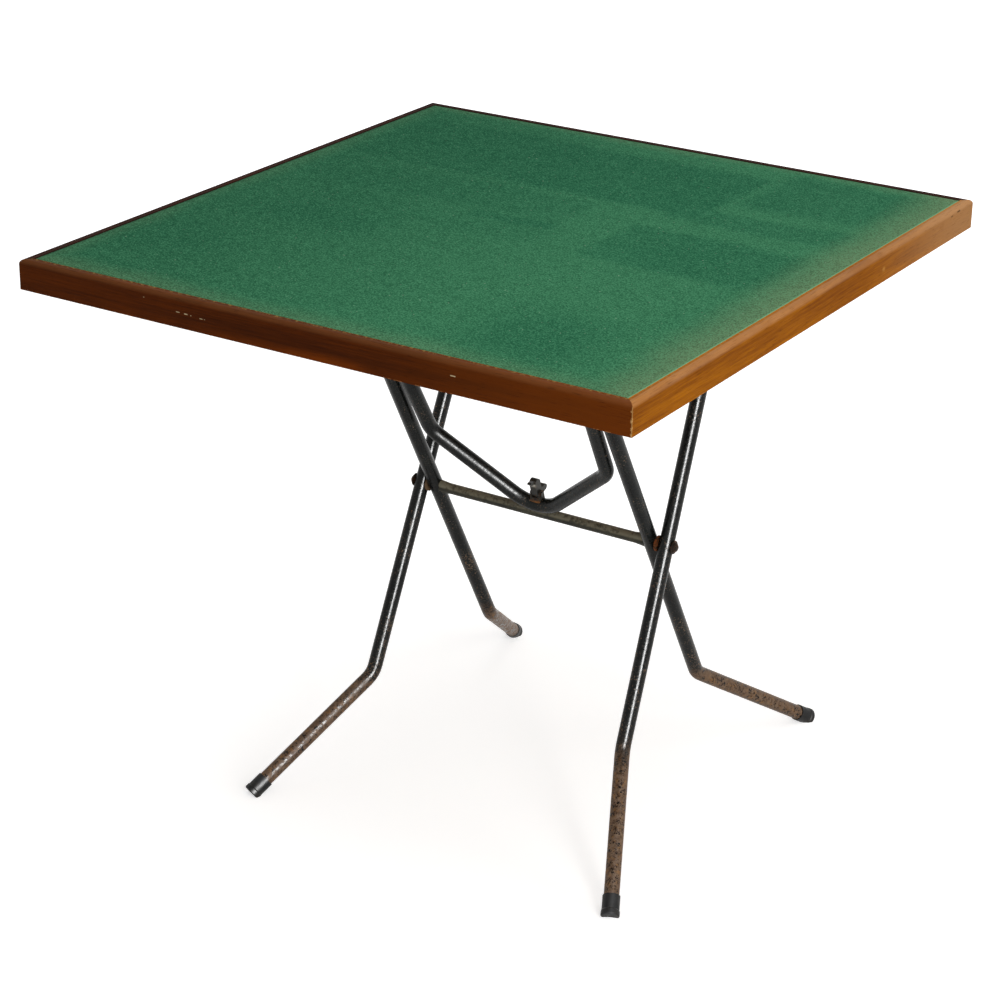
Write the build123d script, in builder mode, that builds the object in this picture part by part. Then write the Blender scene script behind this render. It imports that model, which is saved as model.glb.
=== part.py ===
"""Folding card table: a cloth-covered wooden top on two crossed frames of bent steel tube.

Millimetres, +Z up, floor at 0, +Y to the back. The top tilts on the inner frame, the outer frame turns on two
bolts where the legs cross, and its top tube carries the back of the top.
"""

import os
from math import cos, degrees, radians, sin, tan

from build123d import *

os.makedirs("parts", exist_ok=True)

# Driving sizes of the top
top_width = 760
top_depth = 800
total_height = 720
rail_height = 34
rail_width = 32
band_width = 11.5
arris_round = 5
panel_thick = 6
cloth_thick = 1.2
cloth_sink = 0.2
bearer_width = 66
bearer_chamfer = 3

# Driving sizes of the frames
tube_diameter = 18
tube_wall = 1.5
hinge_drop = 45
pivot_y = 68.6
pivot_z = 347.4
inner_lean = 29.75
outer_lean = 23.85
inner_top_x = 148.3
outer_top_x = 162.9
inner_bend_x = 151.9
outer_bend_x = 177.2
inner_bend_z = 123
outer_bend_z = 124
inner_foot_x = 224.6
inner_foot_y = 377.4
outer_foot_x = 253.1
outer_foot_y = -182.2
foot_end_z = 2.3
inner_top_bend = 28
outer_top_bend = 32
inner_low_bend = 30
outer_low_bend = 36
tip_length = 12
fold_angle = 126

# Driving sizes of the brace, the crossbar and the catch
crossbar_diameter = 13
bolt_diameter = 8
brace_kink_x = 121.3
brace_angle = 46.3
brace_kink_bend = 28
brace_low_bend = 45
brace_leg_gap = 0.7
brace_top_drop = 2
weld_sink = 0.4
slack = 0.05
free_gap = 0.3
pin_forward = 3.6
pin_up = 16.4
nose_reach = 25
nose_angle = 44
nose_tip_radius = 1.6
catch_swing = 42

# Places that follow from the sizes above
tube_radius = tube_diameter / 2
tube_bore = tube_radius - tube_wall
underside = total_height - rail_height
half_width = top_width / 2
half_depth = top_depth / 2
hinge_z = underside - hinge_drop
rise = hinge_z - pivot_z
hinge_y = pivot_y - rise * tan(radians(inner_lean))
rest_y = pivot_y + rise * tan(radians(outer_lean))
inner_bend_y = pivot_y + (pivot_z - inner_bend_z) * tan(radians(inner_lean))
outer_bend_y = pivot_y - (pivot_z - outer_bend_z) * tan(radians(outer_lean))
inner_pivot_x = inner_top_x + (inner_bend_x - inner_top_x) * rise / (hinge_z - inner_bend_z)
outer_pivot_x = outer_top_x + (outer_bend_x - outer_top_x) * rise / (hinge_z - outer_bend_z)
up_frame = Vector(0, -sin(radians(inner_lean)), cos(radians(inner_lean)))
pivot_point = Vector(0, pivot_y, pivot_z)
hinge_point = Vector(0, hinge_y, hinge_z)
hinge_length = rise / cos(radians(inner_lean))
bolt_axis = Location((0, pivot_y, pivot_z), (0, 90, 0))
brace_rest = crossbar_diameter / 2 + tube_radius - weld_sink
brace_bottom = pivot_point + up_frame * brace_rest

# The catch nose, swung forward, reaches a slot under the front rail of the folded top
swung = radians(nose_angle + catch_swing)
hook_point = brace_bottom + Vector(0, -pin_forward, pin_up)
hook_point += Vector(0, -nose_reach * sin(swung), nose_reach * cos(swung))
slot_y = hinge_y + (hook_point - hinge_point).rotate(Axis.X, -fold_angle).Y


def save(builder, name):
    """Name the solid and write it as STEP."""
    builder.part.label = name
    export_step(builder.part, f"parts/{name}.step")


def ring(place, radius, bore):
    """Section of a round bar, or of a tube if it has a bore."""
    with BuildSketch(place) as section:
        Circle(radius)
        if bore:
            Circle(bore, mode=Mode.SUBTRACT)
    return section.sketch


def bent_tube(points, bends, radius, bore=0):
    """Round tube through the points: straight runs, and at each inner point a bend of its own radius."""
    with BuildPart() as tube:
        start = points[0]
        for i, bend in enumerate(bends):
            corner = points[i + 1]
            back = (points[i] - corner).normalized()
            ahead = (points[i + 2] - corner).normalized()
            half = radians(back.get_angle(ahead)) / 2
            entry = corner + back * (bend / tan(half))
            centre = corner + (back + ahead).normalized() * (bend / sin(half))
            extrude(ring(Plane(origin=start, z_dir=-back), radius, bore), amount=(entry - start).length)
            revolve(ring(Plane(origin=entry, z_dir=-back), radius, bore),
                    axis=Axis(centre, ahead.cross(back)), revolution_arc=180 - 2 * degrees(half))
            start = corner + ahead * (bend / tan(half))
        run = points[-1] - start
        extrude(ring(Plane(origin=start, z_dir=run), radius, bore), amount=run.length)
    return tube.part


# Wooden top: four mitred rails, rebated for the panel and the cloth
seat_depth = panel_thick + cloth_thick + cloth_sink
field_width = top_width - 2 * band_width
field_depth = top_depth - 2 * band_width
inside_width = top_width - 2 * rail_width
inside_depth = top_depth - 2 * rail_width
slot_half_width = 6.5
slot_margin = 3.9
slot_depth = 6

with BuildPart() as top_outline:
    with Locations((0, 0, underside)):
        Box(top_width, top_depth, rail_height, align=(Align.CENTER, Align.CENTER, Align.MIN))
    fillet(top_outline.faces().sort_by(Axis.Z)[-1].edges(), arris_round)
    with Locations((0, 0, total_height)):
        Box(field_width, field_depth, seat_depth,
            align=(Align.CENTER, Align.CENTER, Align.MAX), mode=Mode.SUBTRACT)
    with Locations((0, 0, underside)):
        Box(inside_width, inside_depth, rail_height,
            align=(Align.CENTER, Align.CENTER, Align.MIN), mode=Mode.SUBTRACT)

with BuildPart() as rail_front:
    with BuildSketch(Plane.XY.offset(underside)):
        Polygon((-half_width, -half_depth), (half_width, -half_depth),
                (half_width - rail_width, rail_width - half_depth),
                (rail_width - half_width, rail_width - half_depth), align=None)
    extrude(amount=rail_height)
    add(top_outline.part, mode=Mode.INTERSECT)
    with Locations((0, slot_y, underside)):
        Box(2 * slot_half_width, 2 * (nose_tip_radius + slot_margin), slot_depth,
            align=(Align.CENTER, Align.CENTER, Align.MIN), mode=Mode.SUBTRACT)
save(rail_front, "rail_front")

with BuildPart() as rail_back:
    with BuildSketch(Plane.XY.offset(underside)):
        Polygon((-half_width, half_depth), (half_width, half_depth),
                (half_width - rail_width, half_depth - rail_width),
                (rail_width - half_width, half_depth - rail_width), align=None)
    extrude(amount=rail_height)
    add(top_outline.part, mode=Mode.INTERSECT)
save(rail_back, "rail_back")

with BuildPart() as rail_right:
    with BuildSketch(Plane.XY.offset(underside)):
        Polygon((half_width, -half_depth), (half_width, half_depth),
                (half_width - rail_width, half_depth - rail_width),
                (half_width - rail_width, rail_width - half_depth), align=None)
    extrude(amount=rail_height)
    add(top_outline.part, mode=Mode.INTERSECT)
save(rail_right, "rail_right")

with BuildPart() as rail_left:
    mirror(rail_right.part, about=Plane.YZ)
save(rail_left, "rail_left")

with BuildPart() as top_panel:
    with Locations((0, 0, total_height - seat_depth)):
        Box(field_width, field_depth, panel_thick, align=(Align.CENTER, Align.CENTER, Align.MIN))
save(top_panel, "top_panel")

with BuildPart() as baize:
    with Locations((0, 0, total_height - cloth_sink)):
        Box(field_width, field_depth, cloth_thick, align=(Align.CENTER, Align.CENTER, Align.MAX))
save(baize, "baize")

# Bearers across the underside, drilled for the bracket screws
screw_diameter = 4
screw_reach = 18
flange_half = 28
flange_thick = 3
flange_screw_y = 21
bracket_width = 24
hinge_bracket_x = 84
rest_bracket_x = 100
bearer_height = rail_height - seat_depth

with BuildPart() as bearer_front:
    with Locations((0, hinge_y, underside)):
        Box(inside_width, bearer_width, bearer_height, align=(Align.CENTER, Align.CENTER, Align.MIN))
    chamfer(bearer_front.faces().sort_by(Axis.Z)[0].edges().filter_by(Axis.X), bearer_chamfer)
    with Locations([(sx * hinge_bracket_x, hinge_y + sy * flange_screw_y, underside)
                    for sx in (-1, 1) for sy in (-1, 1)]):
        Cylinder(screw_diameter / 2, screw_reach, mode=Mode.SUBTRACT,
                 align=(Align.CENTER, Align.CENTER, Align.MIN))
save(bearer_front, "bearer_front")

with BuildPart() as bearer_back:
    with Locations((0, rest_y, underside)):
        Box(inside_width, bearer_width, bearer_height, align=(Align.CENTER, Align.CENTER, Align.MIN))
    chamfer(bearer_back.faces().sort_by(Axis.Z)[0].edges().filter_by(Axis.X), bearer_chamfer)
    with Locations([(sx * rest_bracket_x, rest_y + sy * flange_screw_y, underside)
                    for sx in (-1, 1) for sy in (-1, 1)]):
        Cylinder(screw_diameter / 2, screw_reach, mode=Mode.SUBTRACT,
                 align=(Align.CENTER, Align.CENTER, Align.MIN))
save(bearer_back, "bearer_back")

# Hinge brackets: a hanger over the inner frame's top tube and a strap under it
neck_half = 12.5
ear_half = 23
ear_thick = 3.5
ear_screw_y = 18
ear_screw_diameter = 3.5
strap_radius = 12
hinge_hole = tube_radius + slack

with BuildPart() as hinge_hanger_right:
    with BuildSketch(Plane.YZ.offset(hinge_bracket_x - bracket_width / 2)):
        with Locations((hinge_y, underside)):
            Rectangle(2 * flange_half, flange_thick, align=(Align.CENTER, Align.MAX))
            Rectangle(2 * neck_half, hinge_drop, align=(Align.CENTER, Align.MAX))
        with Locations((hinge_y, hinge_z)):
            Rectangle(2 * ear_half, ear_thick, align=(Align.CENTER, Align.MIN))
            Circle(hinge_hole, mode=Mode.SUBTRACT)
    extrude(amount=bracket_width)
    with Locations([(hinge_bracket_x, hinge_y + sy * flange_screw_y, underside) for sy in (-1, 1)]):
        Cylinder(screw_diameter / 2, flange_thick, mode=Mode.SUBTRACT,
                 align=(Align.CENTER, Align.CENTER, Align.MAX))
    with Locations([(hinge_bracket_x, hinge_y + sy * ear_screw_y, hinge_z) for sy in (-1, 1)]):
        Cylinder(ear_screw_diameter / 2, ear_thick, mode=Mode.SUBTRACT,
                 align=(Align.CENTER, Align.CENTER, Align.MIN))
save(hinge_hanger_right, "hinge_hanger_right")

with BuildPart() as hinge_hanger_left:
    mirror(hinge_hanger_right.part, about=Plane.YZ)
save(hinge_hanger_left, "hinge_hanger_left")

with BuildPart() as hinge_strap_right:
    with BuildSketch(Plane.YZ.offset(hinge_bracket_x - bracket_width / 2)):
        with Locations((hinge_y, hinge_z)):
            Circle(strap_radius)
            Rectangle(2 * ear_half, ear_thick, align=(Align.CENTER, Align.MAX))
            Rectangle(2 * strap_radius, strap_radius, align=(Align.CENTER, Align.MIN), mode=Mode.SUBTRACT)
            Circle(hinge_hole, mode=Mode.SUBTRACT)
    extrude(amount=bracket_width)
    with Locations([(hinge_bracket_x, hinge_y + sy * ear_screw_y, hinge_z) for sy in (-1, 1)]):
        Cylinder(ear_screw_diameter / 2, ear_thick, mode=Mode.SUBTRACT,
                 align=(Align.CENTER, Align.CENTER, Align.MAX))
save(hinge_strap_right, "hinge_strap_right")

with BuildPart() as hinge_strap_left:
    mirror(hinge_strap_right.part, about=Plane.YZ)
save(hinge_strap_left, "hinge_strap_left")

# Rest brackets: seats over the outer frame's top tube, open towards the front and below
seat_radius = tube_radius + free_gap
front_lip_angle = 58

with BuildPart() as rest_bracket_right:
    with BuildSketch(Plane.YZ.offset(rest_bracket_x - bracket_width / 2)):
        with Locations((rest_y, underside)):
            Rectangle(2 * flange_half, flange_thick, align=(Align.CENTER, Align.MAX))
            Rectangle(2 * neck_half, hinge_drop, align=(Align.CENTER, Align.MAX))
        with Locations((rest_y, hinge_z)):
            Circle(seat_radius, mode=Mode.SUBTRACT)
            Rectangle(neck_half, seat_radius * cos(radians(front_lip_angle)),
                      align=(Align.MAX, Align.MIN), mode=Mode.SUBTRACT)
    extrude(amount=bracket_width)
    with Locations([(rest_bracket_x, rest_y + sy * flange_screw_y, underside) for sy in (-1, 1)]):
        Cylinder(screw_diameter / 2, flange_thick, mode=Mode.SUBTRACT,
                 align=(Align.CENTER, Align.CENTER, Align.MAX))
save(rest_bracket_right, "rest_bracket_right")

with BuildPart() as rest_bracket_left:
    mirror(rest_bracket_right.part, about=Plane.YZ)
save(rest_bracket_left, "rest_bracket_left")

# Screws, two groups of separate solids
screw_head_radius = 4
screw_head_height = 2.4
screw_slot = 0.9
ear_head_radius = 3.4

with BuildPart() as bracket_screws:
    with Locations([(sx * x, y + sy * flange_screw_y, underside - flange_thick)
                    for sx in (-1, 1) for sy in (-1, 1)
                    for x, y in ((hinge_bracket_x, hinge_y), (rest_bracket_x, rest_y))]):
        Cylinder(screw_head_radius, screw_head_height, align=(Align.CENTER, Align.CENTER, Align.MAX))
        Cylinder(screw_diameter / 2, screw_reach + flange_thick,
                 align=(Align.CENTER, Align.CENTER, Align.MIN))
        with Locations((0, 0, -screw_head_height)):
            Box(2 * screw_head_radius, screw_slot, screw_head_height,
                align=(Align.CENTER, Align.CENTER, Align.CENTER), mode=Mode.SUBTRACT)
save(bracket_screws, "bracket_screws")

with BuildPart() as strap_screws:
    with Locations([(sx * hinge_bracket_x, hinge_y + sy * ear_screw_y, hinge_z - ear_thick)
                    for sx in (-1, 1) for sy in (-1, 1)]):
        Cylinder(ear_head_radius, screw_head_height, align=(Align.CENTER, Align.CENTER, Align.MAX))
        Cylinder(ear_screw_diameter / 2, 2 * ear_thick + screw_head_height / 2,
                 align=(Align.CENTER, Align.CENTER, Align.MIN))
        with Locations((0, 0, -screw_head_height)):
            Box(2 * ear_head_radius, screw_slot, screw_head_height,
                align=(Align.CENTER, Align.CENTER, Align.CENTER), mode=Mode.SUBTRACT)
save(strap_screws, "strap_screws")

# Bent tubes: each frame is one tube from foot to foot
inner_ends = [Vector(sx * inner_foot_x, inner_foot_y, foot_end_z) for sx in (-1, 1)]
inner_bends = [Vector(sx * inner_bend_x, inner_bend_y, inner_bend_z) for sx in (-1, 1)]
inner_tops = [Vector(sx * inner_top_x, hinge_y, hinge_z) for sx in (-1, 1)]
outer_ends = [Vector(sx * outer_foot_x, outer_foot_y, foot_end_z) for sx in (-1, 1)]
outer_bends = [Vector(sx * outer_bend_x, outer_bend_y, outer_bend_z) for sx in (-1, 1)]
outer_tops = [Vector(sx * outer_top_x, rest_y, hinge_z) for sx in (-1, 1)]
inner_cuts = [e + (b - e).normalized() * tip_length for e, b in zip(inner_ends, inner_bends)]
outer_cuts = [e + (b - e).normalized() * tip_length for e, b in zip(outer_ends, outer_bends)]
inner_points = [inner_cuts[0], inner_bends[0], inner_tops[0], inner_tops[1], inner_bends[1], inner_cuts[1]]
outer_points = [outer_cuts[0], outer_bends[0], outer_tops[0], outer_tops[1], outer_bends[1], outer_cuts[1]]
inner_radii = [inner_low_bend, inner_top_bend, inner_top_bend, inner_low_bend]
outer_radii = [outer_low_bend, outer_top_bend, outer_top_bend, outer_low_bend]
inner_rod = bent_tube(inner_points, inner_radii, tube_radius)

with BuildPart() as inner_frame_tube:
    add(bent_tube(inner_points, inner_radii, tube_radius, tube_bore))
    with Locations(bolt_axis):
        Cylinder(bolt_diameter / 2, 2 * outer_foot_x, mode=Mode.SUBTRACT)
save(inner_frame_tube, "inner_frame_tube")

with BuildPart() as outer_frame_tube:
    add(bent_tube(outer_points, outer_radii, tube_radius, tube_bore))
    with Locations(bolt_axis):
        Cylinder(bolt_diameter / 2 + slack, 2 * outer_foot_x, mode=Mode.SUBTRACT)
save(outer_frame_tube, "outer_frame_tube")

# Crossbar: a small tube on the pivot axis, its ends spread against the inner legs
bar_radius = crossbar_diameter / 2
flare_length = 22
flare_tall = 24
flare_thick = 10

with BuildPart() as crossbar:
    with Locations(bolt_axis):
        Cylinder(bar_radius, 2 * inner_pivot_x)
    for side in (-1, 1):
        flare_start = side * (inner_pivot_x - tube_radius - flare_length)
        spread = Plane(origin=(flare_start, pivot_y, pivot_z), x_dir=up_frame, z_dir=(side, 0, 0))
        with BuildSketch(spread):
            Circle(bar_radius - weld_sink)
        with BuildSketch(spread.offset(flare_length + tube_radius)):
            RectangleRounded(flare_tall, flare_thick, flare_thick / 2 - weld_sink)
        loft()
    add(inner_rod, mode=Mode.SUBTRACT)
    with Locations(bolt_axis):
        Cylinder(bolt_diameter / 2, 2 * outer_foot_x, mode=Mode.SUBTRACT)
save(crossbar, "crossbar")

# Brace: a bent tube in the plane of the inner frame, welded to its top tube and the crossbar
brace_vertex_up = brace_rest - brace_low_bend * (1 / sin(radians(brace_angle)) - 1)
brace_kink_up = brace_vertex_up + brace_kink_x / tan(radians(brace_angle))
brace_top_up = hinge_length - brace_top_drop
brace_top_x = inner_top_x - tube_diameter - brace_leg_gap
brace_points = [
    pivot_point + Vector(-brace_top_x, 0, 0) + up_frame * brace_top_up,
    pivot_point + Vector(-brace_kink_x, 0, 0) + up_frame * brace_kink_up,
    pivot_point + up_frame * brace_vertex_up,
    pivot_point + Vector(brace_kink_x, 0, 0) + up_frame * brace_kink_up,
    pivot_point + Vector(brace_top_x, 0, 0) + up_frame * brace_top_up,
]
brace_radii = [brace_kink_bend, brace_low_bend, brace_kink_bend]

with BuildPart() as brace_tube:
    add(bent_tube(brace_points, brace_radii, tube_radius, tube_bore))
    add(inner_rod, mode=Mode.SUBTRACT)
    with Locations(bolt_axis):
        Cylinder(bar_radius, brace_kink_x, mode=Mode.SUBTRACT)
save(brace_tube, "brace_tube")

# Pivot bolts and the washers between the legs
head_flange_radius = 8
head_flange_thick = 1.4
head_radius = 6.6
head_height = 4.6
head_shares = ((0.84, 0.45), (0.52, 0.83), (0, 1))
bolt_reach = 12
washer_radius = 9.5
washer_play = 0.4
bolt_seat_x = outer_pivot_x + tube_radius + free_gap
bolt_end_x = inner_pivot_x - tube_radius - bolt_reach
head_base_x = bolt_seat_x + head_flange_thick
head_dome = [(head_base_x + head_height * up, head_radius * out) for out, up in head_shares]
washer_end_x = outer_pivot_x - tube_radius - washer_play
washer_thick = outer_pivot_x - inner_pivot_x - tube_radius

with BuildPart() as pivot_bolt_right:
    with BuildSketch(Plane(origin=(0, pivot_y, pivot_z), x_dir=(1, 0, 0), z_dir=(0, -1, 0))):
        with BuildLine():
            Polyline((bolt_end_x, 0), (bolt_end_x, bolt_diameter / 2), (bolt_seat_x, bolt_diameter / 2),
                     (bolt_seat_x, head_flange_radius), (head_base_x, head_flange_radius),
                     (head_base_x, head_radius), *head_dome, close=True)
        make_face()
    revolve(axis=Axis((0, pivot_y, pivot_z), (1, 0, 0)))
save(pivot_bolt_right, "pivot_bolt_right")

with BuildPart() as pivot_bolt_left:
    mirror(pivot_bolt_right.part, about=Plane.YZ)
save(pivot_bolt_left, "pivot_bolt_left")

with BuildPart() as pivot_washer_right:
    with BuildSketch(Plane(origin=(washer_end_x, pivot_y, pivot_z), z_dir=(-1, 0, 0))):
        Circle(washer_radius)
        Circle(bolt_diameter / 2, mode=Mode.SUBTRACT)
    extrude(amount=washer_thick - washer_play - tube_radius + weld_sink)
    add(inner_rod, mode=Mode.SUBTRACT)
save(pivot_washer_right, "pivot_washer_right")

with BuildPart() as pivot_washer_left:
    mirror(pivot_washer_right.part, about=Plane.YZ)
save(pivot_washer_left, "pivot_washer_left")

# Rubber ferrules: a sleeve with a thicker, dished end, worn flat where it meets the floor
sleeve_radius = 10.3
ferrule_length = 25
foot_radius = 11
foot_length = 6
foot_edge = 1.2
dish_radius = 7.5
dish_depth = 1


def ferrule(end, bend):
    """The ferrule on the foot that runs from its end point to the bend."""
    along = (bend - end).normalized()
    across = along.cross(Vector(0, 0, 1)).normalized()
    with BuildPart() as cap:
        with BuildSketch(Plane(origin=end, x_dir=across, z_dir=across.cross(along))):
            with BuildLine():
                Polyline((0, dish_depth), (dish_radius, 0), (foot_radius - foot_edge, 0),
                         (foot_radius, foot_edge), (foot_radius, foot_length),
                         (sleeve_radius, foot_length + foot_edge), (sleeve_radius, ferrule_length),
                         (tube_radius, ferrule_length), (tube_radius, tip_length), (0, tip_length), close=True)
            make_face()
        revolve(axis=Axis(end, along))
        with Locations((end.X, end.Y, 0)):
            Box(4 * ferrule_length, 4 * ferrule_length, ferrule_length, mode=Mode.SUBTRACT,
                align=(Align.CENTER, Align.CENTER, Align.MAX))
    return cap.part


with BuildPart() as inner_ferrule_right:
    add(ferrule(inner_ends[1], inner_bends[1]))
save(inner_ferrule_right, "inner_ferrule_right")

with BuildPart() as inner_ferrule_left:
    mirror(inner_ferrule_right.part, about=Plane.YZ)
save(inner_ferrule_left, "inner_ferrule_left")

with BuildPart() as outer_ferrule_right:
    add(ferrule(outer_ends[1], outer_bends[1]))
save(outer_ferrule_right, "outer_ferrule_right")

with BuildPart() as outer_ferrule_left:
    mirror(outer_ferrule_right.part, about=Plane.YZ)
save(outer_ferrule_left, "outer_ferrule_left")

# Catch on the crest of the brace, drawn from the side: x is forward and y is up from the middle of the tube
lever_half_width = 4.4
head_half_width = 3.6
nose_half_width = 2.8
cheek_thick = 2
cheek_round = 5
foot_half_deep = 7
foot_rise = 11.2
pin_radius = 2
pin_head_radius = 3
pin_head_height = 1.4
eye_radius = 4.6
head_forward = 9
head_up = 31.4
knob_radius = 5.6
nose_root_radius = 3.6
tail_back = 9.4
tail_up = 20.5
tail_radius = 3.8
cheek_inner = lever_half_width + free_gap
cheek_outer = cheek_inner + cheek_thick
side_view = Plane(origin=brace_bottom, x_dir=(0, -1, 0), z_dir=(-1, 0, 0))
tip_forward = pin_forward + (nose_reach - nose_tip_radius) * sin(radians(nose_angle))
tip_up = pin_up + (nose_reach - nose_tip_radius) * cos(radians(nose_angle))


def taper(half_width, x1, y1, radius1, x2, y2, radius2):
    """Flat link with two rounded ends, seen from the side."""
    with BuildPart() as link:
        with BuildSketch(side_view.offset(-half_width)):
            with BuildLine():
                CenterArc((x1, y1), radius1, 0, 360)
                CenterArc((x2, y2), radius2, 0, 360)
            make_hull()
        extrude(amount=2 * half_width)
    return link.part


with BuildPart() as catch_bracket:
    with BuildSketch(side_view.offset(-cheek_outer)):
        with BuildLine():
            CenterArc((pin_forward, pin_up), cheek_round, 0, 360)
            Line((-foot_half_deep, 0), (foot_half_deep, 0))
        make_hull()
    extrude(amount=2 * cheek_outer)
    with BuildSketch(side_view.offset(-cheek_inner)):
        with Locations((0, foot_rise)):
            Rectangle(4 * foot_half_deep, 2 * pin_up, align=(Align.CENTER, Align.MIN))
    extrude(amount=2 * cheek_inner, mode=Mode.SUBTRACT)
    add(bent_tube(brace_points, brace_radii, tube_radius), mode=Mode.SUBTRACT)
    with BuildSketch(side_view.offset(-2 * cheek_outer)):
        with Locations((pin_forward, pin_up)):
            Circle(pin_radius)
    extrude(amount=4 * cheek_outer, mode=Mode.SUBTRACT)
save(catch_bracket, "catch_bracket")

with BuildPart() as catch_pin:
    with BuildSketch(side_view.offset(-cheek_outer)):
        with Locations((pin_forward, pin_up)):
            Circle(pin_radius)
    extrude(amount=2 * cheek_outer)
    with BuildSketch(side_view.offset(-cheek_outer - pin_head_height), side_view.offset(cheek_outer)):
        with Locations((pin_forward, pin_up)):
            Circle(pin_head_radius)
    extrude(amount=pin_head_height)
save(catch_pin, "catch_pin")

with BuildPart() as catch_lever:
    add(taper(lever_half_width, pin_forward, pin_up, eye_radius, head_forward, head_up, knob_radius))
    add(taper(nose_half_width, head_forward, head_up, nose_root_radius, tip_forward, tip_up, nose_tip_radius))
    add(taper(head_half_width, pin_forward, pin_up, eye_radius, -tail_back, tail_up, tail_radius))
    with BuildSketch(side_view.offset(-lever_half_width)):
        with Locations((pin_forward, pin_up)):
            Circle(pin_radius + slack)
    extrude(amount=2 * lever_half_width, mode=Mode.SUBTRACT)
save(catch_lever, "catch_lever")

print("hinge", hinge_y, hinge_z, "rest", rest_y, "pivot", pivot_y, pivot_z, "slot", slot_y)
print("catch pin", brace_bottom + Vector(0, -pin_forward, pin_up), "brace bottom", brace_bottom)
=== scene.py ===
"""Looks of the folding card table: worn green cloth, varnished rails and black enamelled tube frames.

Metres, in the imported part's frame: floor at z = 0, +X to the right of the front edge, +Y to the back.
"""

import math

import bmesh
import bpy
from mathutils import Matrix, Vector, noise

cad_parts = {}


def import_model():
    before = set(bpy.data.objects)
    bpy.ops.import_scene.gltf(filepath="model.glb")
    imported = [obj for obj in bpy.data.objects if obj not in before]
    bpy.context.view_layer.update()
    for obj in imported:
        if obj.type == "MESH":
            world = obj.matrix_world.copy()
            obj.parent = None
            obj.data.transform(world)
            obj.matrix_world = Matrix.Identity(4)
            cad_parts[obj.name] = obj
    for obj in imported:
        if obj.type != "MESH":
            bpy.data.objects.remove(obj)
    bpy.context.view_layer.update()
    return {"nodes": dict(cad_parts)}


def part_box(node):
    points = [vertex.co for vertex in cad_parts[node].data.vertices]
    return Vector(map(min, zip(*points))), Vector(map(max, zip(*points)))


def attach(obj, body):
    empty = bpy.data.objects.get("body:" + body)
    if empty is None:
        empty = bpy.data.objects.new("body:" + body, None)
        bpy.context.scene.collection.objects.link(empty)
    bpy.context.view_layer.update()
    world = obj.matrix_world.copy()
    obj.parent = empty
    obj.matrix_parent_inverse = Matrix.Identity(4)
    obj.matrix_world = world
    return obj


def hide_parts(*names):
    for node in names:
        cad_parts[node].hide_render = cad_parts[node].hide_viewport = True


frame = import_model()
nodes = frame["nodes"]

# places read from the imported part
front_low, front_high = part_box("rail_front")
cloth_low, cloth_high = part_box("baize")
bar_low, bar_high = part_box("crossbar")
catch_low, catch_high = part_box("catch_lever")
top_z = front_high.z
under_z = front_low.z
front_y = front_low.y
right_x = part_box("rail_right")[1].x


def linear(r, g, b):
    """A colour given as it looks on screen, 0 to 255, in the shader's linear values."""
    parts = []
    for part in (r / 255, g / 255, b / 255):
        parts.append(part / 12.92 if part < 0.04045 else ((part + 0.055) / 1.055) ** 2.4)
    return tuple(parts)


def halfway(a, b):
    return tuple(low + (high - low) / 2 for low, high in zip(a, b))


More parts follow.
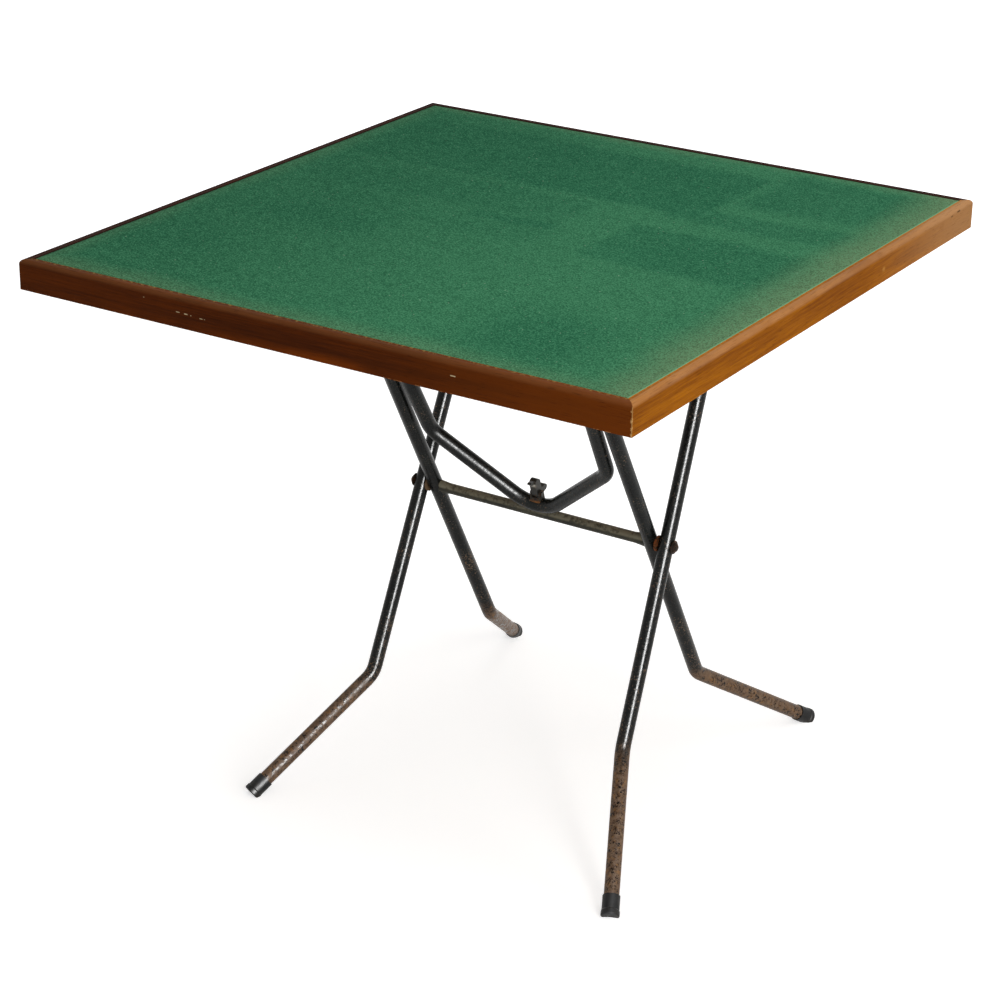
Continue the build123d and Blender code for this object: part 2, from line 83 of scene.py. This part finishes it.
class Shader:
    """A material with its Principled shader, and short ways to add nodes."""

    def __init__(self, name):
        self.material = bpy.data.materials.new(name)
        self.material.use_nodes = True
        self.tree = self.material.node_tree
        self.surface = self.tree.nodes["Principled BSDF"]
        self.coords = self.tree.nodes.new("ShaderNodeTexCoord").outputs["Object"]
        split = self.tree.nodes.new("ShaderNodeSeparateXYZ")
        self.tree.links.new(self.coords, split.inputs[0])
        self.x, self.y, self.z = split.outputs

    def put(self, socket, value):
        if isinstance(value, bpy.types.NodeSocket):
            self.tree.links.new(value, socket)
        else:
            socket.default_value = (*value, 1) if socket.type == "RGBA" else value

    def math(self, kind, a, b=0.0, clamp=False):
        node = self.tree.nodes.new("ShaderNodeMath")
        node.operation = kind
        node.use_clamp = clamp
        self.put(node.inputs[0], a)
        self.put(node.inputs[1], b)
        return node.outputs[0]

    def times(self, first, *others):
        for other in others:
            first = self.math("MULTIPLY", first, other)
        return first

    def plus(self, first, *others):
        for other in others:
            first = self.math("ADD", first, other)
        return first

    def along_grain(self, lengthwise, crosswise, along_x):
        """Coordinates for wood: few features to the metre lengthwise, many crosswise."""
        node = self.tree.nodes.new("ShaderNodeMapping")
        scale = (lengthwise, crosswise) if along_x else (crosswise, lengthwise)
        node.inputs["Scale"].default_value = (*scale, crosswise)
        self.put(node.inputs["Vector"], self.coords)
        return node.outputs[0]

    def noise(self, scale, detail=3.0, rough=0.5, source=None, distort=0.0):
        node = self.tree.nodes.new("ShaderNodeTexNoise")
        node.inputs["Scale"].default_value = scale
        node.inputs["Detail"].default_value = detail
        node.inputs["Roughness"].default_value = rough
        node.inputs["Distortion"].default_value = distort
        self.put(node.inputs["Vector"], source or self.coords)
        return node.outputs["Fac"]

    def swing(self, value, reach):
        """Noise moved to both sides of 0, reach wide."""
        return self.times(self.math("SUBTRACT", value, 0.5), reach)

    def ease(self, value, start, end, low=0.0, high=1.0):
        """low where value is at start, high where it is at end, smooth between."""
        node = self.tree.nodes.new("ShaderNodeMapRange")
        node.interpolation_type = "SMOOTHSTEP"
        self.put(node.inputs["Value"], value)
        node.inputs["From Min"].default_value = start
        node.inputs["From Max"].default_value = end
        node.inputs["To Min"].default_value = low
        node.inputs["To Max"].default_value = high
        return node.outputs[0]

    def ramp(self, value, *stops):
        node = self.tree.nodes.new("ShaderNodeValToRGB")
        band = node.color_ramp
        while len(band.elements) < len(stops):
            band.elements.new(0.5)
        for element, (place, colour) in zip(band.elements, stops):
            element.position = place
            element.color = (*colour, 1)
        self.put(node.inputs[0], value)
        return node.outputs[0]

    def mix(self, factor, a, b):
        node = self.tree.nodes.new("ShaderNodeMix")
        node.data_type = "RGBA"
        self.put(node.inputs[0], factor)
        self.put(node.inputs[6], a)
        self.put(node.inputs[7], b)
        return node.outputs[2]

    def patch(self, u, u0, u1, v, v0, v1, soft):
        """1 inside a rectangle of the coordinates u and v, easing to 0 over soft outside it."""
        across = self.times(self.ease(u, u0 - soft, u0 + soft), self.ease(u, u1 + soft, u1 - soft))
        along = self.times(self.ease(v, v0 - soft, v0 + soft), self.ease(v, v1 + soft, v1 - soft))
        return self.times(across, along)

    def bump(self, height, depth, distance):
        node = self.tree.nodes.new("ShaderNodeBump")
        node.inputs["Strength"].default_value = depth
        node.inputs["Distance"].default_value = distance
        self.put(node.inputs["Height"], height)
        self.put(self.surface.inputs["Normal"], node.outputs[0])

    def finish(self, colour, roughness, **settings):
        self.put(self.surface.inputs["Base Color"], colour)
        self.put(self.surface.inputs["Roughness"], roughness)
        for name, value in settings.items():
            self.surface.inputs[name.replace("_", " ")].default_value = value
        return self.material


def dress(material, *names):
    """Give CAD nodes a material."""
    for name in names:
        data = nodes[name].data
        data.materials.clear()
        data.materials.append(material)


def into_scene(name, data):
    """Put a mesh, a light or a camera into the scene as an object."""
    piece = bpy.data.objects.new(name, data)
    bpy.context.scene.collection.objects.link(piece)
    return piece


# x and y ranges, softness and depth of the darker places that things lying on the cloth have kept
dark_places = (
    (-0.335, 0.155, 0.150, 0.335, 0.012, 0.75),
    (0.165, 0.330, 0.225, 0.365, 0.014, 0.60),
    (0.235, 0.330, 0.250, 0.350, 0.022, 0.35),
    (0.110, 0.330, 0.135, 0.192, 0.010, 0.60),
    (-0.340, 0.028, 0.040, 0.134, 0.014, 0.45),
    (-0.075, 0.030, 0.012, 0.040, 0.007, 0.75),
    (-0.270, 0.028, -0.045, 0.012, 0.020, 0.25),
    (0.100, 0.328, -0.043, 0.090, 0.012, 0.65),
    (-0.285, -0.125, -0.130, -0.035, 0.035, 0.55),
    (-0.360, -0.225, -0.290, -0.190, 0.045, 0.50),
    (0.140, 0.275, -0.355, -0.215, 0.045, 0.60),
)


def cloth_material():
    s = Shader("worn_cloth")
    wander = s.swing(s.noise(9, 4), 0.03)
    x = s.plus(s.x, wander)
    y = s.plus(s.y, wander)
    deep = 0.0
    for x0, x1, y0, y1, soft, depth in dark_places:
        deep = s.math("MAXIMUM", deep, s.times(s.patch(x, x0, x1, y, y0, y1, soft), depth))
    deep = s.math("ADD", deep, s.swing(s.noise(6, 4, 0.6), 0.7), clamp=True)
    ground = s.mix(deep, linear(50, 115, 79), linear(12, 88, 59))
    # painted shade: the left side is painted darker than the right, away from the light
    ground = s.mix(s.ease(s.x, -0.38, 0.20, 0.72, 0), ground, linear(12, 78, 51))
    # painted sheen: paler towards the edges, most beside the right rail
    edge_sheen = s.plus(s.ease(x, 0.300, 0.374), s.ease(y, 0.362, 0.392, 0, 0.4))
    edge_sheen = s.math("MAXIMUM", edge_sheen, s.ease(y, -0.345, -0.392, 0, 0.42))
    edge_sheen = s.math("MAXIMUM", edge_sheen, s.ease(x, -0.335, -0.37, 0, 0.22))
    ground = s.mix(s.math("MULTIPLY", edge_sheen, 0.85, clamp=True), ground, linear(108, 132, 94))
    nap = s.noise(520, 3, 0.7)
    mottle = s.noise(120, 3, 0.6)
    tone = s.plus(s.times(nap, 0.86), s.times(mottle, 0.14))
    ground = s.mix(s.ease(tone, 0.46, 0.62, 0, 0.50), ground, linear(82, 146, 108))
    ground = s.mix(s.ease(tone, 0.54, 0.38, 0, 0.60), ground, linear(8, 58, 38))
    lint = s.ease(s.noise(300, 1, 0.5), 0.740, 0.770, 0, 0.4)
    ground = s.mix(lint, ground, linear(165, 182, 160))
    # the cut edge beside the right rail is still a fresh green
    fresh_start, fresh_end = cloth_high.x - 0.0028, cloth_high.x - 0.0016
    ground = s.mix(s.ease(s.x, fresh_start, fresh_end, 0, 0.85), ground, linear(120, 184, 140))
    s.bump(s.plus(nap, s.times(s.noise(1500, 2, 0.6), 0.5)), 0.55, 0.0006)
    return s.finish(ground, 0.95, Sheen_Weight=0.04, Sheen_Roughness=0.5, Specular_IOR_Level=0.0)


def cloth_sheet(material):
    """The cloth: a fine sheet, very slightly uneven, its edge pressed down beside the wood."""
    columns, rows = 150, 158
    edge_width, edge_drop = 0.0022, 0.0006
    # fineness, height and noise layer of each swell, and the drop that keeps them inside the cloth
    swells = ((9, 0.00012, 2.0), (60, 0.00006, 7.0))
    sunk = 0.00012
    wide = cloth_high.x - cloth_low.x
    deep = cloth_high.y - cloth_low.y
    data = bpy.data.meshes.new("cloth")
    mesh = bmesh.new()
    grid = []
    for j in range(rows + 1):
        line = []
        for i in range(columns + 1):
            x = cloth_low.x + wide * i / columns
            y = cloth_low.y + deep * j / rows
            near = min(x - cloth_low.x, cloth_high.x - x, y - cloth_low.y, cloth_high.y - y)
            press = math.exp(-((near / edge_width) ** 2)) * edge_drop
            swell = 0.0
            for fine, tall, layer in swells:
                swell += tall * noise.noise(Vector((x * fine, y * fine, layer)))
            line.append(mesh.verts.new((x, y, cloth_high.z - sunk + swell - press)))
        grid.append(line)
    for near, far in zip(grid, grid[1:]):
        for corners in zip(near, near[1:], far[1:], far):
            mesh.faces.new(corners)
    right_side = [line[-1] for line in grid[1:]]
    left_side = [line[0] for line in grid[-2:0:-1]]
    rim = grid[0] + right_side + grid[-1][-2::-1] + left_side
    foot = [mesh.verts.new((vert.co.x, vert.co.y, cloth_low.z)) for vert in rim]
    for corners in zip(rim, foot, foot[1:] + foot[:1], rim[1:] + rim[:1]):
        mesh.faces.new(corners)
    mesh.faces.new(foot)
    bmesh.ops.recalc_face_normals(mesh, faces=mesh.faces)
    mesh.to_mesh(data)
    mesh.free()
    piece = into_scene("cloth", data)
    data.materials.append(material)
    data.shade_smooth()
    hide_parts("baize")
    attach(piece, "tabletop")


cloth_sheet(cloth_material())

# heights on a rail, each pair from where a look starts to where it is full
rounding = (top_z - 0.0060, top_z - 0.0018)
under_rounding = (top_z - 0.004, top_z - 0.006)
upper_flat = (top_z - 0.001, top_z - 0.0004)
upper_skin = (top_z - 0.0015, top_z - 0.0006)
lower_part = (under_z + 0.013, under_z + 0.002)
lower_arris = (under_z + 0.0012, under_z + 0.0002)
lower_chips = (under_z + 0.020, under_z)
# depths in from a rail's outer face, in the same way
outer_skin = (0.003, 0.0015)
outer_arris = (0.0014, 0.0004)
outside_stain = (0.0095, 0.0070)
stain_line = (0.0088, 0.0105)
fleck_band = (0.0072, 0.0092)
inner_face = (0.0315, 0.0335)
# distances from the upright edge at the front right corner
corner_wear = (0.0016, 0.0005)
corner_line = (0.0006, 0.0003)


def rail_grain(s, along_x, fibre, slow, deep, warm):
    """Stained grain from deep to warm."""
    figure = s.noise(1.0, 6, 0.62, s.along_grain(1.2, 34, along_x), 0.9)
    shade = s.plus(s.times(figure, 0.43), s.times(fibre, 0.40), s.times(slow, 0.23))
    return s.ramp(s.ease(shade, 0.33, 0.72), (0.0, deep), (0.55, halfway(deep, warm)), (1.0, warm))


def rail_painted_glow(s, colour, along_x, inward, slow, warm, share):
    """Painted light: a warmer, lighter glow low on the outer face; on a front or back rail this fades
    towards the ends.
    """
    glow = s.times(s.ease(s.z, *lower_part), s.ease(slow, 0.40, 0.62, 0.15, 1))
    glow = s.times(glow, s.ease(inward, *outer_skin, 0, share))
    if along_x:
        glow = s.times(glow, s.ease(s.x, -0.33, -0.05), s.ease(s.x, 0.30, 0.16, 0.35, 1))
    return s.mix(glow, colour, tuple(min(1.0, part * 2.1) for part in warm))


def rail_upper_edge(s, colour, inward, edge_lighting, edge_lighting_tint, stain_share):
    """The rounded edge is tinted as painted light, a painted highlight on the lit rails and painted shade
    on the others; a thin line of bare stain with flecks runs beside the cloth.
    """
    # painted light on the rounded edge: a lighter tint is a painted highlight, a darker tint painted shade
    edge_lighting_mask = s.ease(s.z, *rounding)
    if stain_share:
        edge_lighting_mask = s.times(edge_lighting_mask, s.ease(inward, *outside_stain))
    edge_lighting_mask = s.times(edge_lighting_mask, s.ease(s.noise(20, 4, 0.6), 0.3, 0.65, 0.68, 0.95))
    colour = s.mix(s.times(edge_lighting_mask, edge_lighting), colour, edge_lighting_tint)
    if not stain_share:
        return colour
    stain = s.times(s.ease(s.z, *upper_flat), s.ease(inward, *stain_line))
    colour = s.mix(s.times(stain, stain_share), colour, linear(188, 112, 40))
    beside = s.times(s.ease(s.z, *upper_skin), s.ease(inward, *fleck_band))
    flecks = s.times(beside, s.ease(s.noise(200, 3, 0.7), 0.50, 0.60))
    return s.mix(s.times(flecks, 0.6), colour, linear(150, 120, 64))


def rail_marks(s, colour, along, marks):
    """Single chips: place along the rail, height, length, width, colour and share of each."""
    for u, z, long, tall, tint, share in marks:
        spot = s.patch(along, u - long / 2, u + long / 2, s.z, z - tall / 2, z + tall / 2, tall * 0.6)
        spot = s.times(spot, s.ease(s.noise(190, 3, 0.6), 0.30, 0.46))
        colour = s.mix(s.times(spot, share), colour, tint)
    return colour


def rail_worn_edges(s, colour, inward):
    """Bare wood down the upright edge at the front right corner and in places along the lower edge."""
    chips = s.plus(s.noise(150, 4, 0.75), s.ease(s.z, *lower_chips, 0, 0.06))
    from_right = s.math("SUBTRACT", right_x, s.x)
    from_front = s.math("SUBTRACT", s.y, front_y)
    reach = s.math("MAXIMUM", s.times(from_right, 0.6), from_front)
    corner = s.times(s.ease(reach, *corner_wear), s.ease(s.z, *under_rounding))
    corner = s.times(corner, s.ease(chips, 0.545, 0.575))
    corner = s.math("MAXIMUM", corner, s.ease(reach, *corner_line, 0, 0.6))
    colour = s.mix(s.times(corner, 0.85), colour, linear(212, 168, 106))
    arris = s.times(s.ease(s.z, *lower_arris), s.ease(s.noise(120, 3), 0.55, 0.62))
    arris = s.times(arris, s.ease(inward, *outer_arris))
    return s.mix(s.times(arris, 0.5), colour, linear(190, 130, 80))


def rail_material(
    name, along_x, deep, warm, edge_lighting, edge_lighting_tint, stain_share=0.0, fade=None, marks=(), painted_glow_share=0.85
):
    """Varnished wood with its grain along the rail."""
    s = Shader(name)
    along = s.x if along_x else s.y
    half, place = (-front_y, s.y) if along_x else (right_x, s.x)
    inward = s.math("SUBTRACT", half, s.math("ABSOLUTE", place))
    fibre = s.noise(1.0, 3, 0.7, s.along_grain(14, 430, along_x))
    slow = s.noise(5, 3, 0.5)
    colour = rail_grain(s, along_x, fibre, slow, deep, warm)
    if fade:
        start, end, tint, share = fade
        colour = s.mix(s.times(s.ease(along, start, end), share), colour, tint)
    # painted light: a glow low on the outer face, then highlight or shade on the rounded top edge
    colour = rail_painted_glow(s, colour, along_x, inward, slow, warm, painted_glow_share)
    colour = rail_upper_edge(s, colour, inward, edge_lighting, edge_lighting_tint, stain_share)
    # the inner face was never varnished
    colour = s.mix(s.ease(inward, *inner_face, 0, 0.75), colour, linear(146, 102, 62))
    colour = rail_marks(s, colour, along, marks)
    colour = rail_worn_edges(s, colour, inward)
    pores = s.noise(1.0, 2, 0.6, s.along_grain(50, 1000, along_x))
    colour = s.mix(s.ease(pores, 0.57, 0.70, 0, 0.4), colour, tuple(part * 0.4 for part in deep))
    s.bump(s.plus(fibre, s.times(pores, -0.6)), 0.16, 0.0005)
    rough = s.ease(s.noise(14, 4, 0.6), 0.3, 0.7, 0.36, 0.56)
    return s.finish(colour, rough, Specular_IOR_Level=0.0, Coat_Weight=0.06, Coat_Roughness=0.3)


# red brown stain, painted darker still as shade for the rails that face away from the light
shaded_red_brown = {"deep": linear(42, 14, 2), "warm": linear(87, 37, 3)}
# painted shade on the rounded top edge of the back and left rails, which face away from the light
shaded_edge = {"edge_lighting": 0.9, "edge_lighting_tint": linear(34, 15, 8)}
pale_chip = linear(232, 214, 170)
front_marks = (
    (-0.1632, under_z + 0.0173, 0.0046, 0.0006, pale_chip, 0.8),
    (-0.1524, under_z + 0.0170, 0.0050, 0.0008, pale_chip, 0.9),
    (-0.1461, under_z + 0.0166, 0.0012, 0.0006, pale_chip, 0.8),
    (-0.1312, under_z + 0.0158, 0.0070, 0.0006, pale_chip, 0.8),
    (0.1782, under_z + 0.0193, 0.0060, 0.0008, pale_chip, 0.9),
    (-0.2081, under_z + 0.0249, 0.0012, 0.0008, pale_chip, 0.5),
)
side_marks = (
    (0.1568, under_z + 0.0151, 0.006, 0.004, linear(205, 150, 70), 0.5),
    (0.3586, under_z + 0.0300, 0.009, 0.0016, linear(60, 40, 25), 0.9),
    (0.3400, under_z + 0.0285, 0.006, 0.0012, linear(70, 48, 30), 0.8),
)
front_wood = rail_material(
    "rail_front_wood",
    True,
    **shaded_red_brown,
    # painted highlight along the rounded top edge
    edge_lighting=0.30,
    edge_lighting_tint=linear(128, 86, 54),
    stain_share=0.10,
    fade=(0.0, 0.39, linear(128, 62, 10), 0.5),
    marks=front_marks,
)
# painted light: the right rail is a lighter, more orange copy of the red brown wood because that side is
# lit; its stain is also a little lighter
lit_right_wood = rail_material(
    "rail_right_wood_lit",
    False,
    deep=linear(110, 54, 4),
    warm=linear(172, 104, 12),
    # painted highlight along the rounded top edge
    edge_lighting=0.45,
    edge_lighting_tint=linear(188, 144, 104),
    stain_share=0.55,
    fade=(0.10, 0.40, linear(172, 128, 84), 0.75),
    marks=side_marks,
    painted_glow_share=0.08,
)
dress(front_wood, "rail_front")
dress(lit_right_wood, "rail_right")
dress(rail_material("rail_back_wood", True, **shaded_red_brown, **shaded_edge), "rail_back")
dress(rail_material("rail_left_wood", False, **shaded_red_brown, **shaded_edge), "rail_left")


def plain_wood(name, light, dark, along_x):
    """Unvarnished wood under the top."""
    s = Shader(name)
    figure = s.noise(1.0, 5, 0.6, s.along_grain(2, 30, along_x), 0.6)
    fibre = s.noise(1.0, 2, 0.7, s.along_grain(20, 500, along_x))
    shade = s.plus(s.times(figure, 0.75), s.times(fibre, 0.25))
    colour = s.ramp(s.ease(shade, 0.34, 0.68), (0.0, dark), (1.0, light))
    colour = s.mix(s.ease(s.noise(7, 5, 0.6), 0.5, 0.75, 0, 0.35), colour, linear(70, 55, 40))
    s.bump(fibre, 0.25, 0.0006)
    return s.finish(colour, 0.75)


panel_wood = plain_wood("panel_wood", linear(196, 160, 112), linear(160, 120, 78), False)
bearer_wood = plain_wood("bearer_wood", linear(178, 134, 84), linear(132, 90, 50), True)
dress(panel_wood, "top_panel")
dress(bearer_wood, "bearer_front", "bearer_back")

# heights on the legs, from where the wear starts to where it is full
low_wear = (0.42, 0.16)
bare_foot = (0.150, 0.108)


def enamel(name, rusty_feet, dull):
    """Black enamel on a tube, chipped all along; at rusty feet bare brown steel with specks of paint."""
    s = Shader(name)
    fine = s.noise(430, 5, 0.7)
    broad = s.noise(26, 4, 0.6)
    grain = s.noise(210, 4, 0.7)
    worn = s.plus(s.times(fine, 0.7), s.times(broad, 0.3), s.ease(s.z, *low_wear, 0, 0.035))
    bare = s.times(s.ease(worn, 0.585, 0.64), 0.8)
    if rusty_feet:
        foot = s.ease(s.plus(s.z, s.swing(broad, 0.10)), *bare_foot)
        left = s.plus(s.times(fine, 0.55), s.times(s.noise(130, 4, 0.7), 0.45))
        bare = s.math("MAXIMUM", bare, s.times(foot, s.ease(left, 0.42, 0.485)))
    brown = ((0.28, linear(70, 52, 38)), (0.5, linear(107, 83, 62)), (0.74, linear(138, 112, 88)))
    flecks = s.ease(s.noise(170, 4, 0.65), 0.55, 0.63, 0, 0.55)
    steel = s.mix(flecks, s.ramp(grain, *brown), linear(150, 106, 58))
    paint = s.mix(s.ease(broad, 0.35, 0.7), linear(10, 12, 11), linear(25, 28, 26))
    paint = s.mix(s.ease(s.noise(520, 3, 0.6), 0.66, 0.74, 0, 0.5), paint, linear(110, 104, 92))
    s.bump(s.math("SUBTRACT", s.times(fine, 0.25), s.times(bare, 0.35)), 0.18, 0.0006)
    steel_rough = s.times(bare, s.ease(grain, 0.40, 0.56, 0.05, 0.42))
    paint_rough = s.ease(fine, 0.42, 0.60, 0.14 + dull, 0.34 + dull)
    rough = s.plus(steel_rough, paint_rough)
    return s.finish(s.mix(bare, paint, steel), rough, Specular_IOR_Level=0.13)


dress(enamel("black_enamel", True, 0.0), "inner_frame_tube", "outer_frame_tube")
dress(enamel("brace_enamel", False, 0.10), "brace_tube")


def tarnished(name, base, second, rust, share, rough, metal=0.0, worn=None, gloss=0.12):
    """Old steel or paint in two tones with rust spots; worn is a place of another colour."""
    s = Shader(name)
    blotch = s.noise(36, 6, 0.7, distort=0.6)
    colour = s.ramp(blotch, (0.32, base), (0.68, second))
    spots = s.ease(s.noise(210, 4, 0.7), 0.62 - 0.22 * share, 0.70 - 0.16 * share)
    colour = s.mix(spots, colour, rust)
    if worn:
        y0, y1, z0, z1, tint = worn
        place = s.patch(s.y, y0, y1, s.z, z0, z1, 0.0015)
        colour = s.mix(s.times(place, s.ease(s.noise(150, 4, 0.7), 0.36, 0.54, 0.25, 1)), colour, tint)
    s.bump(s.noise(380, 4, 0.7), 0.3, 0.0006)
    roughness = s.ease(blotch, 0.3, 0.7, rough - 0.1, rough + 0.15)
    return s.finish(colour, roughness, Metallic=metal, Specular_IOR_Level=gloss)


rust_brown = linear(98, 58, 34)
rust_dark = linear(58, 44, 30)
# places of another colour (a paler band, a worn nose with a painted highlight, rust): y from and to, z from
# and to, and the colour
any_y = (-1.0, 1.0)
bar_z = (bar_low.z + bar_high.z) / 2
# the upper half of the crossbar is paler
bar_upper_pale = (*any_y, bar_z + 0.0010, bar_z + 0.02, linear(116, 111, 94))
nose_y = (catch_low.y, catch_low.y + 0.0075)
# worn steel at the catch's nose, painted nearly white as a highlight
nose_wear_and_highlight = (*nose_y, catch_high.z - 0.0140, catch_high.z - 0.0062, linear(206, 202, 190))
base_rust = (*any_y, catch_low.z - 0.007, catch_low.z - 0.0045, linear(130, 84, 42))

bar_steel = tarnished(
    "bar_steel", linear(30, 31, 29), linear(74, 72, 62), linear(60, 52, 40), 0.3, 0.6, worn=bar_upper_pale
)
rusty_steel = tarnished("rusty_steel", linear(96, 52, 28), linear(146, 78, 38), rust_dark, 0.8, 0.8)
dull_steel = tarnished("dull_steel", linear(84, 66, 48), linear(128, 104, 80), rust_dark, 0.6, 0.8)
bolt_paint = tarnished("bolt_paint", linear(24, 19, 15), linear(52, 38, 27), rust_brown, 0.3, 0.5)
catch_steel = tarnished(
    "catch_steel", linear(20, 20, 17), linear(46, 44, 37), linear(70, 56, 40), 0.4, 0.38,
    worn=nose_wear_and_highlight, gloss=0.2,
)
catch_rust = tarnished(
    "catch_rust", linear(34, 33, 30), linear(70, 64, 54), rust_brown, 0.4, 0.6, worn=base_rust
)
bracket_paint = tarnished("bracket_paint", linear(26, 26, 26), linear(48, 46, 44), rust_brown, 0.25, 0.5)
screw_steel = tarnished(
    "screw_steel", linear(120, 112, 100), linear(160, 152, 140), rust_brown, 0.4, 0.45, metal=0.8
)
dress(bar_steel, "crossbar")
dress(rusty_steel, "pivot_washer_right")
dress(dull_steel, "pivot_washer_left")
dress(bolt_paint, "pivot_bolt_left", "pivot_bolt_right")
dress(catch_steel, "catch_lever", "catch_pin")
dress(catch_rust, "catch_bracket")
dress(bracket_paint, "hinge_hanger_left", "hinge_hanger_right", "hinge_strap_left", "hinge_strap_right")
dress(bracket_paint, "rest_bracket_left", "rest_bracket_right")
dress(screw_steel, "bracket_screws", "strap_screws")

ferrules = ("inner_ferrule_left", "inner_ferrule_right", "outer_ferrule_left", "outer_ferrule_right")


def rubber():
    """Black rubber, dusty all over and most at the floor."""
    s = Shader("worn_rubber")
    dust = s.ease(s.noise(90, 5, 0.65), 0.46, 0.74, 0, 0.5)
    low = s.ease(s.z, 0.010, 0.0, 0, 0.35)
    colour = s.mix(s.math("MAXIMUM", dust, low), linear(11, 12, 12), linear(56, 50, 42))
    s.bump(s.noise(500, 4, 0.7), 0.25, 0.0005)
    return s.finish(colour, s.ease(s.noise(60, 3), 0.3, 0.7, 0.34, 0.56), Specular_IOR_Level=0.16)


dress(rubber(), *ferrules)


def seen_directly(tree):
    """1 for rays from the camera and in reflections and glass, 0 for the light that falls on the object."""
    path = tree.nodes.new("ShaderNodeLightPath")
    total = path.outputs["Is Camera Ray"]
    for name in ("Is Glossy Ray", "Is Transmission Ray"):
        node = tree.nodes.new("ShaderNodeMath")
        node.operation = "MAXIMUM"
        tree.links.new(total, node.inputs[0])
        tree.links.new(path.outputs[name], node.inputs[1])
        total = node.outputs[0]
    return total


def paper():
    """Pale paper that takes the object's shadow and is lifted to white only where it is seen."""
    near, far = 1.5, 3.0
    near_lift, far_lift = 0.60, 1.0
    s = Shader("floor_paper")
    away = s.math("SQRT", s.plus(s.times(s.x, s.x), s.times(s.y, s.y)))
    lift = s.times(seen_directly(s.tree), s.ease(away, near, far, near_lift, far_lift))
    s.put(s.surface.inputs["Emission Strength"], lift)
    return s.finish((0.86, 0.86, 0.86), 0.9, Specular_IOR_Level=0.1, Emission_Color=(1, 1, 1, 1))


# the photograph's view: turn from the front, drop, roll, the camera's place and its focal length in widths
view_turn = math.radians(32.04)
view_drop = math.radians(23.29)
view_roll = math.radians(0.869)
eye = Vector((1.5254, -2.4623, under_z + 0.9486))
focal_share = 2.6949


def floor():
    """A paper sweep that curves up into a wall behind the object, square to the view."""
    half_wide, front, back, high = 11.0, -7.0, 4.5, 6.0
    bend, steps = 1.5, 12
    data = bpy.data.meshes.new("floor")
    mesh = bmesh.new()
    line = [(front, 0.0), (back - bend, 0.0)]
    for k in range(1, steps + 1):
        turn = math.pi / 2 * k / steps
        line.append((back - bend + bend * math.sin(turn), bend - bend * math.cos(turn)))
    line.append((back, high))
    left, right = [[mesh.verts.new((x, y, z)) for y, z in line] for x in (-half_wide, half_wide)]
    for corners in zip(left, right, right[1:], left[1:]):
        mesh.faces.new(corners)
    mesh.to_mesh(data)
    mesh.free()
    piece = into_scene("floor", data)
    data.shade_smooth()
    data.materials.append(paper())
    piece.rotation_euler = (0, 0, view_turn)


lamp_target = Vector((0, 0, 0.45))


def lamp(name, place, size, power, colour=(1, 1, 1)):
    """A rectangular lamp that looks at the middle of the table."""
    data = bpy.data.lights.new(name, "AREA")
    data.shape = "RECTANGLE"
    data.size, data.size_y = size
    data.energy = power
    data.color = colour
    piece = into_scene(name, data)
    piece.location = place
    piece.rotation_euler = (lamp_target - Vector(place)).to_track_quat("-Z", "Y").to_euler()
    piece.visible_camera = False
    return piece


def window():
    """A tall window that shows only as the bright line along the enamelled tubes."""
    piece = lamp("window", (2.45, -2.20, 1.45), (1.3, 2.5), 880)
    piece.visible_diffuse = False
    shiny = bpy.data.collections.new("shiny")
    for name in ("inner_frame_tube", "outer_frame_tube", "brace_tube", "catch_lever", *ferrules):
        shiny.objects.link(nodes[name])
    piece.light_linking.receiver_collection = shiny


def camera():
    flat = math.cos(view_drop)
    back = Vector((math.sin(view_turn) * flat, -math.cos(view_turn) * flat, math.sin(view_drop)))
    right = Vector((math.cos(view_turn), math.sin(view_turn), 0))
    up = back.cross(right)
    tilted_right = right * math.cos(view_roll) + up * math.sin(view_roll)
    tilted_up = up * math.cos(view_roll) - right * math.sin(view_roll)
    lens = bpy.data.cameras.new("camera")
    lens.sensor_width = 36
    lens.lens = focal_share * lens.sensor_width
    piece = into_scene("camera", lens)
    turned = Matrix((tilted_right, tilted_up, back)).transposed().to_4x4()
    piece.matrix_world = Matrix.Translation(eye) @ turned
    bpy.context.scene.camera = piece


def world():
    """Soft light from all round, seen as plain white."""
    ambient_strength = 0.33
    place = bpy.data.worlds.new("studio")
    place.use_nodes = True
    bpy.context.scene.world = place
    tree = place.node_tree
    ambient = tree.nodes["Background"]
    ambient.inputs["Color"].default_value = (1, 1, 1, 1)
    ambient.inputs["Strength"].default_value = ambient_strength
    seen = tree.nodes.new("ShaderNodeBackground")
    seen.inputs["Color"].default_value = (1, 1, 1, 1)
    seen.inputs["Strength"].default_value = 1.0
    choice = tree.nodes.new("ShaderNodeMixShader")
    tree.links.new(seen_directly(tree), choice.inputs[0])
    tree.links.new(ambient.outputs[0], choice.inputs[1])
    tree.links.new(seen.outputs[0], choice.inputs[2])
    tree.links.new(choice.outputs[0], tree.nodes["World Output"].inputs["Surface"])


camera()
floor()
lamp("key", (2.75, -1.85, 1.35), (0.42, 2.2), 37, (1.0, 0.98, 0.95))
lamp("side", (3.3, 1.2, 1.7), (1.6, 1.6), 20, (1.0, 0.97, 0.92))
lamp("top", (0.3, -0.2, 3.4), (2.6, 2.6), 52)
window()
world()
bpy.context.scene.view_settings.view_transform = "Standard"
